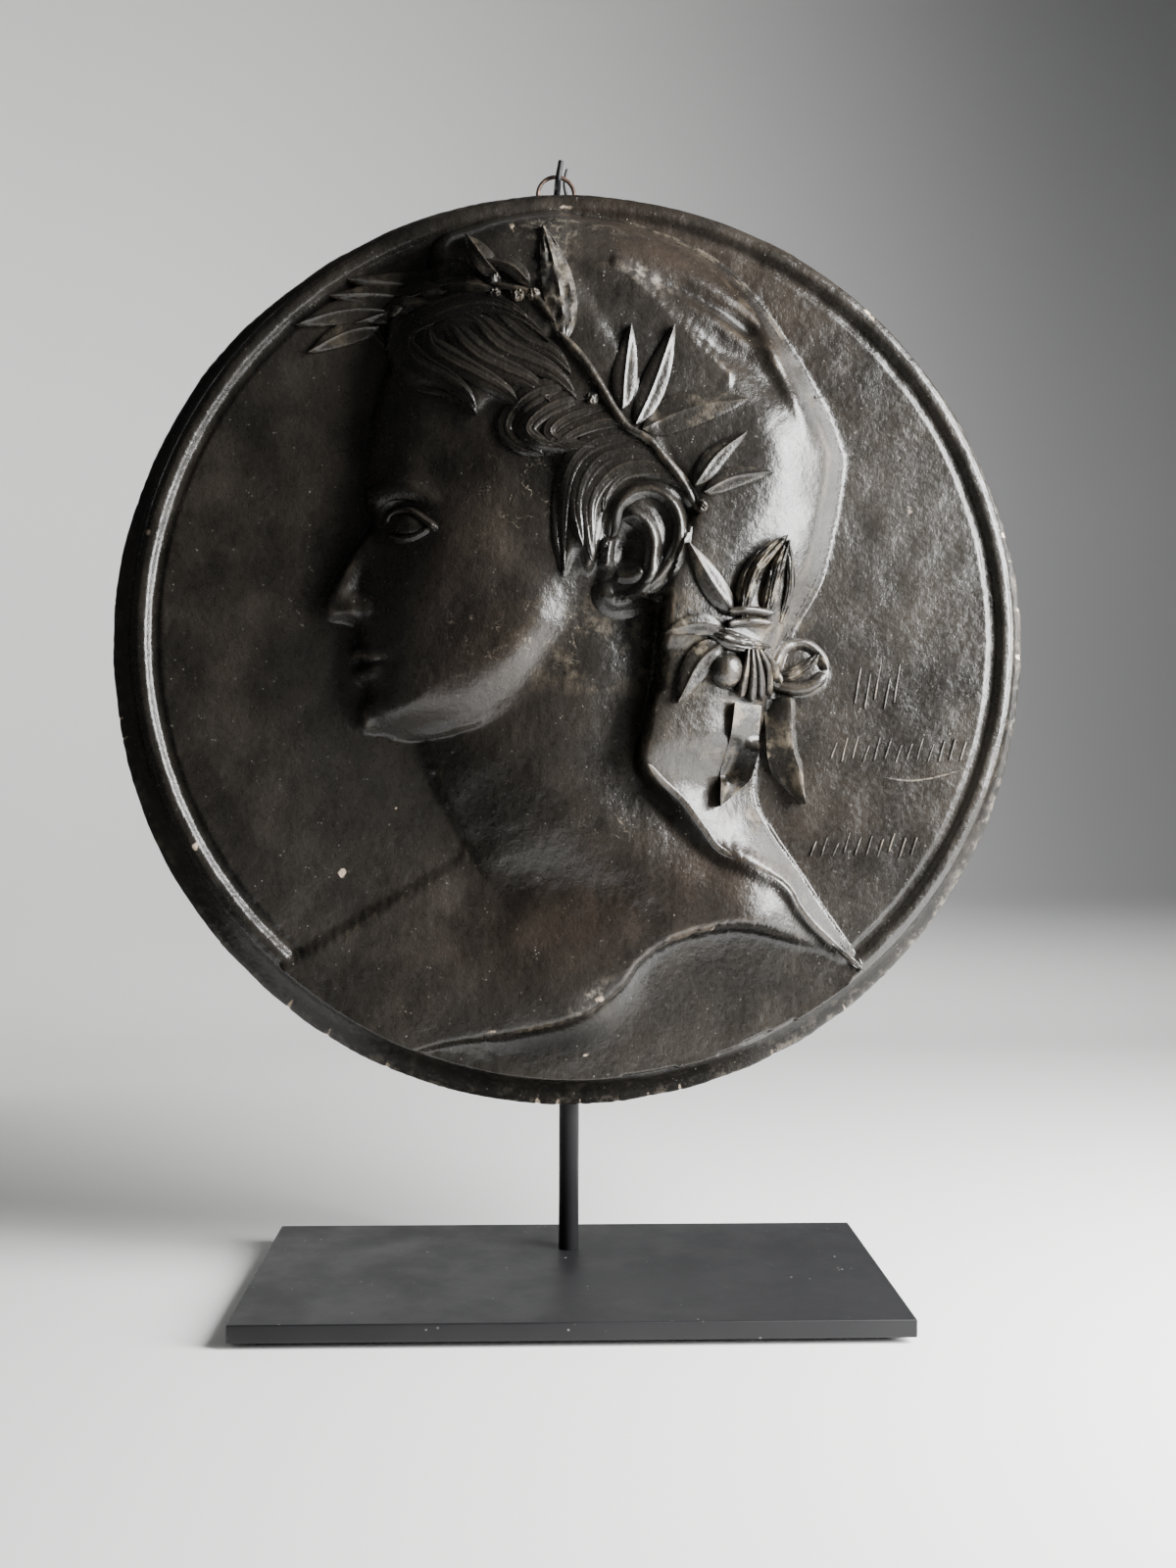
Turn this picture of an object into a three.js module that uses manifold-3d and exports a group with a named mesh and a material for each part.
// Round relief plaque with a capped head in profile, hung by a wire loop on a black steel stand.
// Millimetres, +Z up, the relief faces -Y, the feet rest on Z = 0.
import * as THREE from 'three';
import { mergeVertices } from 'three/addons/utils/BufferGeometryUtils.js';
import Module from 'manifold-3d';

const wasm = await Module();
wasm.setup();

// Stand
const PLATE_WIDTH = 300;
const PLATE_DEPTH = 150;
const PLATE_THICKNESS = 8;
const PLATE_EDGE_BREAK = 0.6;
const PAD_RADIUS = 9;
const PAD_HEIGHT = 2.5;
const PAD_EDGE_BREAK = 0.5;
const PAD_END_INSET = 22;
const PAD_SIDE_INSET = 20;
const ROD_RADIUS = 5;
const ROD_Y = 33;
const ROD_TOP = 505;
const ROD_EDGE_BREAK = 0.6;
const SOCKET_DEPTH = 5;
const FIT_GAP = 0.3;

// Medallion body: heights are measured from the flat back towards the viewer
const BACK_Y = 27.5;
const FLANGE_RADIUS = 225;
const FLANGE_CENTRE_Z = 310;
const RELIEF_SHIFT_X = 2.6;
const RELIEF_SHIFT_Z = 4.7;
const FIELD_LEVEL = 22;
const GROOVE_RADIUS = 203.8;
const GROOVE_HALF_WIDTH = 4.3;
const GROOVE_DEPTH = 4;
const BAND_RADIUS = 213.5;
const BAND_HEIGHT = 2.5;
const GRID_RINGS = 25;
const SAMPLE_REACH = 4;
const HAIRLINE = 118;
const FACE_LENGTH = 168;
const FACE_FRONT = -100;

// Wire loop and hook
const WIRE_RADIUS = 1;
const LOOP_RADIUS = 9;
const LOOP_X = -8.5;
const LOOP_Y = 22.5;
const LOOP_CENTRE_Z = 535.5;
const LEG_LENGTH = 18;

const plateBottom = PAD_HEIGHT + FIT_GAP;
const plateTop = plateBottom + PLATE_THICKNESS;
const reliefCentreZ = FLANGE_CENTRE_Z + RELIEF_SHIFT_Z;

// Small shape helpers
const clamp01 = (x) => Math.min(1, Math.max(0, x));

function ramp(x, low, high) {
  const t = clamp01((x - low) / (high - low));
  return t * t * (3 - 2 * t);
}

function roundedMax(a, b, blend) {
  const h = clamp01(0.5 + (0.5 * (a - b)) / blend);
  return b + (a - b) * h + blend * h * (1 - h);
}

const toPoints = (pairs) => pairs.map(([u, v]) => new THREE.Vector2(u, v));

function curve(points) {
  const spline = new THREE.SplineCurve(toPoints(points));
  return spline.getPoints(points.length * 5);
}

function nearest(path, u, v) {
  let best = Infinity;
  let along = 0;
  let side = 1;
  for (let i = 0; i + 1 < path.length; i += 1) {
    const a = path[i];
    const b = path[i + 1];
    const du = b.x - a.x;
    const dv = b.y - a.y;
    const t = clamp01(((u - a.x) * du + (v - a.y) * dv) / (du * du + dv * dv + 1e-9));
    const gap = Math.hypot(u - a.x - du * t, v - a.y - dv * t);
    if (gap < best) {
      best = gap;
      along = (i + t) / (path.length - 1);
      side = du * (v - a.y) - dv * (u - a.x) >= 0 ? 1 : -1;
    }
  }
  return { gap: best, along, side };
}

function isInside(outline, u, v) {
  let inside = false;
  for (let i = 0, j = outline.length - 1; i < outline.length; j = i, i += 1) {
    const a = outline[i];
    const b = outline[j];
    const crosses = a.y > v !== b.y > v;
    if (crosses && u < ((b.x - a.x) * (v - a.y)) / (b.y - a.y) + a.x) inside = !inside;
  }
  return inside;
}

function mound(u, v, [cu, cv, ru, rv, turn, height]) {
  const c = Math.cos(turn);
  const s = Math.sin(turn);
  const a = ((u - cu) * c + (v - cv) * s) / ru;
  const b = ((v - cv) * c - (u - cu) * s) / rv;
  return height * Math.exp(-a * a - b * b);
}

function blade(u, v, [u0, v0, u1, v1, halfWidth, height]) {
  const length = Math.hypot(u1 - u0, v1 - v0);
  const along = ((u - u0) * (u1 - u0) + (v - v0) * (v1 - v0)) / length / length;
  if (along <= 0 || along >= 1) return 0;
  const across = Math.abs((u - u0) * (v1 - v0) - (v - v0) * (u1 - u0)) / length;
  const width = halfWidth * Math.sin(Math.PI * along ** 0.8);
  return height * clamp01(1.3 - across / (width + 0.01)) * ramp(along, 0, 0.2);
}

// Guide lines of the relief, in millimetres right and up from the centre of the rim circle
// Plain profile in equal thirds from hairline to chin: share of the length down, share of it forward
const profile = curve([
  [-0.14, -0.09], [-0.04, -0.035], [0.08, 0], [0.2, 0.012], [0.32, 0.02], [0.38, 0], [0.47, 0.05],
  [0.58, 0.115], [0.62, 0.135], [0.655, 0.115], [0.67, 0.045], [0.715, 0.035], [0.755, 0.055],
  [0.782, 0.028], [0.815, 0.045], [0.865, 0.01], [0.93, 0.03], [0.98, 0.012], [1, -0.06],
].map(([down, forward]) => [FACE_FRONT - forward * FACE_LENGTH, HAIRLINE - down * FACE_LENGTH]));
const jaw = curve([[-90, -50], [-70, -49], [-45, -42], [-20, -27], [-2, -6], [6, 14]]);
const skullClose = [[60, 20], [70, 120], [20, 172], [-40, 172]];
const headOutline = [...profile, ...jaw, ...toPoints(skullClose)];
const neckFront = curve([
  [-74, -52], [-68.5, -69.5], [-61, -83], [-53, -98], [-46.5, -112], [-36, -125], [-24, -142],
  [-14, -165], [-6, -200],
]);
const chestLine = curve([[-150, -163], [-139, -157], [-58, -108], [30, -55]]);
const bustLeft = [
  [-110, -185], [-152, -164], [-139, -157], [-58, -108], [-53, -98], [-61, -83], [-74, -52],
];
const bustFoot = [[140, -161], [118, -180], [60, -206], [0, -215], [-60, -206]];
const cutEdge = curve([
  [-90, -203], [-62, -195], [-30, -190], [0, -182], [20, -168], [30, -155], [47, -144.5],
  [75, -138], [100, -143], [125, -153], [150, -168],
]);
const hairOutline = curve([
  [-92, 144], [-90, 130], [-81, 118], [-67, 115], [-55, 109], [-48, 103], [-39, 106], [-29, 101],
  [-31, 95], [-28, 88], [-21, 82], [-11, 77], [-10, 53], [-8, 28], [-2, 34], [4, 28], [10, 40],
  [20, 66], [53, 57], [40, 90], [0, 160], [-40, 170], [-70, 166], [-88, 156],
]);
const capContour = curve([
  [-66, 160], [-74, 178], [-67, 193], [-52, 199], [-40, 203], [-14, 207], [0, 205], [27, 200],
  [51, 191], [69, 181], [84, 167], [96, 151], [110, 130], [119, 113], [126, 96], [128.5, 84],
  [125, 60], [118, 30], [104, 4], [98, -12], [92, -35],
]);
const capInner = curve([
  [36, -19], [38, 9], [40, 24], [44, 36], [50, 52], [53, 57], [48, 67], [39.5, 78], [31, 88],
  [22, 92], [15, 101], [8, 113], [0, 125], [-9, 135], [-20, 150], [-24, 162], [-48, 166], [-66, 160],
]);
const capOutline = [...capContour, ...capInner];
const flapLeft = curve([
  [44, 36], [40, 24], [38, 9], [36, -19], [32.5, -33], [29, -53], [31, -62], [38, -70], [48, -79],
  [58, -92], [66, -102], [79, -108], [91, -114], [100, -121], [106, -131], [116, -142], [140, -161],
]);
const flapRight = curve([
  [140, -161], [120, -132], [108, -114], [95, -95], [87, -80], [86, -60], [92, -35], [98, -12],
  [104, 4], [108, 30],
]);
const flapOutline = [...flapLeft, ...flapRight];
const bustOutline = [...toPoints(bustLeft), ...flapLeft, ...toPoints(bustFoot)];
const foldLine = curve([[0, 163], [25, 156], [50, 148], [70, 139], [86, 136]]);
const capRidge = curve([[84, 140], [96, 122], [106, 98], [108, 75]]);
const locks = [
  [[-22, 152], [-45, 157], [-65, 157], [-82, 150], [-91, 142]],
  [[-15, 143], [-40, 148], [-62, 149], [-80, 142], [-89, 131]],
  [[-8, 133], [-35, 138], [-60, 141], [-76, 133], [-84, 121]],
  [[0, 124], [-25, 127], [-48, 133], [-66, 127], [-72, 117]],
  [[8, 113], [-18, 112], [-40, 119], [-56, 118], [-50, 106]],
  [[14, 100], [-5, 100], [-22, 98], [-29, 92], [-24, 85]],
  [[24, 88], [5, 88], [-10, 86], [-18, 84]],
  [[44, 72], [22, 76], [2, 75], [-6, 60], [-8, 32]],
  [[10, 72], [2, 60], [3, 45], [3, 32]],
].map(curve);

// Leaves and ribbon ends: base, tip, half width, height
const leaves = [
  [-12, 134, -14, 186, 8, 5],
  [19, 102, 23, 140, 7, 4],
  [25, 95, 42, 140, 7, 4],
  [28, 93, 76, 106, 10, 3],
  [52, 66, 76, 90, 6, 3],
  [56, 63, 88, 73, 6, 3],
  [-46, 163, -102, 170, 8, 5],
  [-60, 160, -124, 159, 7, 4],
  [-72, 156, -134, 150, 7, 4],
  [-80, 151, -122, 138, 6, 3],
  [70, 9, 49, 41, 6, 4],
  [64, 0, 40, 0, 6, 4],
  [64, -8, 45, -31, 7, 4],
  [80, -28, 68, -78, 12, 4],
  [94, -28, 108, -75, 9, 6],
];

// Rounded lumps: centre, two half sizes, turn, height
const lumps = [
  [75, -3, 9, 8, 0, 7],
  [69, -18, 8, 8, 0, 6],
  [83, -17, 9, 10, 0, 6],
  [85, 24, 8, 18, -0.45, 8],
  [107, -13, 13, 10, -0.3, 11],
  [28, 40, 19, 26, -0.3, 7],
  [25, 41, 9, 13, -0.2, -6],
  [17, 18, 8, 7, 0, 2],
  [-40, 165, 6, 5, 0, 4],
  [-28, 158, 5, 5, 0, 3],
  [78, 122, 24, 9, -0.6, -5],
  [-55, 30, 26, 16, 0.3, 3],
  [-84, 53, 13, 9, 0.2, -5],
  [-81, 51, 7, 5, 0, 3.5],
  [-106, 13, 7, 6, 0, 4],
  [-92, -13, 6, 3, 0, -1.5],
  [-96, -38, 10, 9, 0, 2],
];

function rimHeight(r) {
  const offset = Math.abs(r - GROOVE_RADIUS) / GROOVE_HALF_WIDTH;
  const groove = offset < 1 ? GROOVE_DEPTH * Math.cos((Math.PI / 2) * offset) ** 2 : 0;
  return BAND_HEIGHT * ramp(r, GROOVE_RADIUS, GROOVE_RADIUS + GROOVE_HALF_WIDTH) - groove;
}

function bustHeight(u, v, r) {
  if (!isInside(bustOutline, u, v)) return 0;
  const front = nearest(neckFront, u, v);
  const chest = nearest(chestLine, u, v);
  const fall = (1 - 0.55 * ramp(-v, 105, 190)) * (1 - 0.62 * ramp(u, 25, 125));
  const neck = front.side > 0 ? 30 * (1 - Math.exp(-front.gap / 24)) * fall : 0;
  const breast = chest.side < 0 ? 1.6 + 7.5 * ramp(chest.gap, 0, 80) : 0;
  const body = roundedMax(neck, breast, 8) - 2;
  const edge = nearest(cutEdge, u, v);
  const below = ramp(edge.side < 0 ? edge.gap : -edge.gap, -2, 3);
  const inward = BAND_RADIUS - r;
  const cutFace = 2 + 0.25 * inward - 3 * Math.sin(Math.PI * clamp01(inward / 55));
  return Math.max(0, body) * (1 - below) + cutFace * below;
}

function headHeight(u, v) {
  if (!isInside(headOutline, u, v)) return 0;
  const front = nearest(profile, u, v).gap;
  const under = nearest(jaw, u, v).gap;
  return 7 + 31 * (1 - Math.exp(-front / 34)) - 9 * (1 - ramp(under, 0, 16));
}

function hairHeight(u, v) {
  if (!isInside(hairOutline, u, v)) return 0;
  let strands = 0;
  for (const lock of locks) {
    const gap = nearest(lock, u, v).gap;
    strands = Math.max(strands, 3 * Math.exp(-((gap / 4) ** 2)));
  }
  const front = nearest(profile, u, v).gap;
  return 8 + 31 * (1 - Math.exp(-front / 34)) + 4 * ramp(nearest(hairOutline, u, v).gap, 0, 6) + strands;
}

function capHeight(u, v) {
  if (!isInside(capOutline, u, v)) return 0;
  const inward = clamp01(nearest(capContour, u, v).gap / 58);
  const dome = 46 * (1 - (1 - inward) ** 2.2) ** (1 / 2.2);
  const fold = nearest(foldLine, u, v);
  const crease = -5 * Math.exp(-((fold.gap / 6) ** 2)) + 3 * Math.exp(-(((fold.gap - 10) / 7) ** 2));
  const ridge = 3 * Math.exp(-((nearest(capRidge, u, v).gap / 8) ** 2));
  return dome + (crease + ridge) * ramp(inward, 0.1, 0.4);
}

function flapHeight(u, v) {
  if (!isInside(flapOutline, u, v)) return 0;
  const inward = clamp01(nearest(flapRight, u, v).gap / 26);
  const tallest = 39 - 33 * ramp(-v, 50, 165);
  return tallest * Math.sqrt(1 - (1 - inward) ** 2) - 2 * (1 - ramp(nearest(flapLeft, u, v).gap, 0, 4));
}

function formHeight(u, v) {
  const r = Math.hypot(u, v);
  let height = Math.max(rimHeight(r), bustHeight(u, v, r));
  height = Math.max(height, headHeight(u, v), hairHeight(u, v), capHeight(u, v), flapHeight(u, v));
  for (const leaf of leaves) height += blade(u, v, leaf);
  for (const lump of lumps) height += mound(u, v, lump);
  return FIELD_LEVEL + height;
}

// Mean of nine samples round a point, so that steep edges run smoothly across the grid
function reliefHeight(u, v) {
  const r = Math.hypot(u, v);
  const reach = SAMPLE_REACH * (1 - ramp(r, GROOVE_RADIUS - 14, GROOVE_RADIUS - 5));
  let sum = 0;
  for (const du of [-reach, 0, reach]) {
    for (const dv of [-reach, 0, reach]) sum += formHeight(u + du, v + dv);
  }
  return sum / 9;
}

// Closed solids
function solid(positions, triangles) {
  const geometry = new THREE.BufferGeometry();
  geometry.setAttribute('position', new THREE.Float32BufferAttribute(positions, 3));
  geometry.setIndex(triangles);
  return geometry;
}

function toManifold(geometry) {
  const plain = geometry.clone();
  plain.deleteAttribute('normal');
  plain.deleteAttribute('uv');
  const merged = mergeVertices(plain, 1e-4);
  return new wasm.Manifold(new wasm.Mesh({
    numProp: 3,
    vertProperties: new Float32Array(merged.attributes.position.array),
    triVerts: new Uint32Array(merged.index.array),
  }));
}

function fromManifold(body) {
  const mesh = body.getMesh();
  return solid(Array.from(mesh.vertProperties), Array.from(mesh.triVerts));
}

function sweep(path, radiusAt, steps, sides) {
  const frames = path.computeFrenetFrames(steps, false);
  const positions = [];
  const triangles = [];
  for (let i = 0; i <= steps; i += 1) {
    const centre = path.getPointAt(i / steps);
    for (let k = 0; k < sides; k += 1) {
      const angle = (2 * Math.PI * k) / sides;
      const offset = frames.normals[i].clone().multiplyScalar(Math.cos(angle));
      offset.addScaledVector(frames.binormals[i], Math.sin(angle)).multiplyScalar(radiusAt(i / steps));
      positions.push(centre.x + offset.x, centre.y + offset.y, centre.z + offset.z);
    }
  }
  for (let i = 0; i < steps; i += 1) {
    for (let k = 0; k < sides; k += 1) {
      const a = i * sides + k;
      const b = i * sides + ((k + 1) % sides);
      triangles.push(a, b, b + sides, a, b + sides, a + sides);
    }
  }
  const last = steps * sides;
  for (let k = 1; k + 1 < sides; k += 1) {
    triangles.push(0, k + 1, k);
    triangles.push(last, last + k, last + k + 1);
  }
  return solid(positions, triangles);
}

function gridRadius(ring) {
  const outer = [GROOVE_RADIUS - 4.5, GROOVE_RADIUS, GROOVE_RADIUS + 4.8, BAND_RADIUS];
  const inner = GRID_RINGS - outer.length + 1;
  return ring >= inner ? outer[ring - inner] : (outer[0] * ring) / inner;
}

function gridPoint(i, j) {
  const ring = Math.max(Math.abs(i), Math.abs(j));
  if (ring === 0) return [0, 0];
  const wide = Math.abs(i) >= Math.abs(j);
  const turn = wide ? ((Math.PI / 4) * j) / i : Math.PI / 2 - ((Math.PI / 4) * i) / j;
  const sign = (wide ? i : j) > 0 ? 1 : -1;
  const radius = gridRadius(ring) * sign;
  return [radius * Math.cos(turn), radius * Math.sin(turn)];
}

function medallionGeometry() {
  const n = GRID_RINGS;
  const wide = 2 * n + 1;
  const positions = [];
  const triangles = [];
  const heights = [];
  for (let j = -n; j <= n; j += 1) {
    for (let i = -n; i <= n; i += 1) {
      const [u, v] = gridPoint(i, j);
      const height = reliefHeight(u, v);
      heights.push(height);
      positions.push(u + RELIEF_SHIFT_X, BACK_Y - height, v + reliefCentreZ);
    }
  }
  for (let j = 0; j < 2 * n; j += 1) {
    for (let i = 0; i < 2 * n; i += 1) {
      const a = j * wide + i;
      const [b, c, d] = [a + 1, a + wide + 1, a + wide];
      const risesOneWay = Math.abs(heights[a] - heights[c]) < Math.abs(heights[b] - heights[d]);
      if (risesOneWay) triangles.push(a, b, c, a, c, d);
      else triangles.push(a, b, d, b, c, d);
    }
  }
  const border = [];
  for (let i = 0; i < 2 * n; i += 1) border.push(i);
  for (let j = 0; j < 2 * n; j += 1) border.push(j * wide + 2 * n);
  for (let i = 2 * n; i > 0; i -= 1) border.push(2 * n * wide + i);
  for (let j = 2 * n; j > 0; j -= 1) border.push(j * wide);
  // Cove, lip and back edge outside the band: radius, height, share of the flange's offset
  const edgeSteps = [
    [BAND_RADIUS + 2.5, 14, 0.4],
    [FLANGE_RADIUS - 2.5, 9.5, 1],
    [FLANGE_RADIUS, 6.5, 1],
    [FLANGE_RADIUS, 1.5, 1],
    [FLANGE_RADIUS - 1.5, 0, 1],
  ];
  let previous = border;
  for (const [radius, height, share] of edgeSteps) {
    const next = [];
    for (const corner of border) {
      const u = positions[3 * corner] - RELIEF_SHIFT_X;
      const v = positions[3 * corner + 2] - reliefCentreZ;
      const angle = Math.atan2(v, u);
      next.push(positions.length / 3);
      positions.push(
        radius * Math.cos(angle) + RELIEF_SHIFT_X * (1 - share),
        BACK_Y - height,
        radius * Math.sin(angle) + FLANGE_CENTRE_Z + RELIEF_SHIFT_Z * (1 - share),
      );
    }
    for (let k = 0; k < border.length; k += 1) {
      const m = (k + 1) % border.length;
      triangles.push(previous[k], next[k], next[m], previous[k], next[m], previous[m]);
    }
    previous = next;
  }
  for (let k = 1; k + 1 < previous.length; k += 1) {
    triangles.push(previous[0], previous[k + 1], previous[k]);
  }
  return solid(positions, triangles);
}

function loopPath(legEnd) {
  const points = [];
  const legs = [0.66, 0.33];
  points.push(new THREE.Vector3(LOOP_X - LOOP_RADIUS, LOOP_Y, LOOP_CENTRE_Z - legEnd));
  for (const s of legs) {
    points.push(new THREE.Vector3(LOOP_X - LOOP_RADIUS, LOOP_Y, LOOP_CENTRE_Z - legEnd * s));
  }
  for (let k = 0; k <= 8; k += 1) {
    const angle = Math.PI - (Math.PI * k) / 8;
    points.push(new THREE.Vector3(
      LOOP_X + LOOP_RADIUS * Math.cos(angle),
      LOOP_Y,
      LOOP_CENTRE_Z + LOOP_RADIUS * Math.sin(angle),
    ));
  }
  for (const s of legs.slice().reverse()) {
    points.push(new THREE.Vector3(LOOP_X + LOOP_RADIUS, LOOP_Y, LOOP_CENTRE_Z - legEnd * s));
  }
  points.push(new THREE.Vector3(LOOP_X + LOOP_RADIUS, LOOP_Y, LOOP_CENTRE_Z - legEnd));
  return new THREE.CatmullRomCurve3(points);
}

function hookGeometry() {
  const shank = new THREE.CatmullRomCurve3([
    [-8.4, 33, 470], [-8.4, 33, 500], [-8.4, 33, 520], [-8.2, 32.4, 531], [-8, 30, 538],
    [-7.8, 26.5, 540.8], [-7.7, 22.6, 541.3], [-7.5, 19.6, 542.7], [-7.1, 18.7, 545.5],
    [-6.6, 18.7, 548.5], [-6.2, 18.8, 551],
  ].map((p) => new THREE.Vector3(...p)));
  const spur = new THREE.CatmullRomCurve3([
    [-8.2, 32.5, 527], [-4.6, 31.8, 532], [-3.2, 30, 536.5], [-4.2, 27.6, 541.5],
    [-4.3, 26.6, 545], [-3.1, 26.2, 550],
  ].map((p) => new THREE.Vector3(...p)));
  const shankRadius = (t) => 3 - 1.35 * ramp(t, 0.42, 0.64) - 0.35 * ramp(t, 0.84, 1);
  const main = toManifold(sweep(shank, shankRadius, 28, 8));
  const side = toManifold(sweep(spur, (t) => 1 - 0.4 * t, 10, 6));
  return fromManifold(main.add(side));
}

function cylinder(radius, bottom, top, x, y, edgeBreak, sides) {
  const outline = [
    [0, bottom], [radius - edgeBreak, bottom], [radius, bottom + edgeBreak],
    [radius, top - edgeBreak], [radius - edgeBreak, top], [0, top],
  ].map(([r, z]) => new THREE.Vector2(r, z));
  const geometry = new THREE.LatheGeometry(outline, sides);
  geometry.rotateX(Math.PI / 2);
  geometry.translate(x, y, 0);
  return geometry;
}

function plateGeometry() {
  const half = [PLATE_WIDTH / 2 - PLATE_EDGE_BREAK, PLATE_DEPTH / 2 - PLATE_EDGE_BREAK];
  const shape = new THREE.Shape([
    new THREE.Vector2(-half[0], -half[1]), new THREE.Vector2(half[0], -half[1]),
    new THREE.Vector2(half[0], half[1]), new THREE.Vector2(-half[0], half[1]),
  ]);
  const slab = new THREE.ExtrudeGeometry(shape, {
    depth: PLATE_THICKNESS - 2 * PLATE_EDGE_BREAK,
    bevelEnabled: true,
    bevelThickness: PLATE_EDGE_BREAK,
    bevelSize: PLATE_EDGE_BREAK,
    bevelSegments: 1,
  });
  slab.translate(0, 0, plateBottom + PLATE_EDGE_BREAK);
  const hole = cylinder(ROD_RADIUS + FIT_GAP, plateTop - SOCKET_DEPTH, plateTop + 5, 0, ROD_Y, 0.1, 32);
  return fromManifold(toManifold(slab).subtract(toManifold(hole)));
}

// Materials and the assembled group
const patina = new THREE.MeshStandardMaterial({ color: 0x3a332b, roughness: 0.45, metalness: 0.1 });
const blackPaint = new THREE.MeshStandardMaterial({ color: 0x17171a, roughness: 0.5, metalness: 0.3 });
const rustyWire = new THREE.MeshStandardMaterial({ color: 0x4a342a, roughness: 0.6, metalness: 0.6 });
const blackRubber = new THREE.MeshStandardMaterial({ color: 0x101010, roughness: 0.85, metalness: 0 });

const group = new THREE.Group();
group.name = 'relief_plaque';

function add(name, geometry, material) {
  const mesh = new THREE.Mesh(geometry, material);
  mesh.name = name;
  group.add(mesh);
}

const wireSocket = toManifold(sweep(loopPath(LEG_LENGTH + FIT_GAP), () => WIRE_RADIUS + FIT_GAP, 32, 6));
add('medallion', fromManifold(toManifold(medallionGeometry()).subtract(wireSocket)), patina);
add('hanging_ring', sweep(loopPath(LEG_LENGTH), () => WIRE_RADIUS, 32, 6), rustyWire);
add('stand_hook', hookGeometry(), blackPaint);
const rodFoot = plateTop - SOCKET_DEPTH + FIT_GAP;
add('stand_rod', cylinder(ROD_RADIUS, rodFoot, ROD_TOP, 0, ROD_Y, ROD_EDGE_BREAK, 32), blackPaint);
add('base_plate', plateGeometry(), blackPaint);

const padX = PLATE_WIDTH / 2 - PAD_END_INSET;
const padY = PLATE_DEPTH / 2 - PAD_SIDE_INSET;
for (const [row, y] of [['front', -padY], ['back', padY]]) {
  for (const [hand, x] of [['left', -padX], ['right', padX]]) {
    const pad = cylinder(PAD_RADIUS, 0, PAD_HEIGHT, x, y, PAD_EDGE_BREAK, 24);
    add(`foot_pad_${row}_${hand}`, pad, blackRubber);
  }
}

export default group;
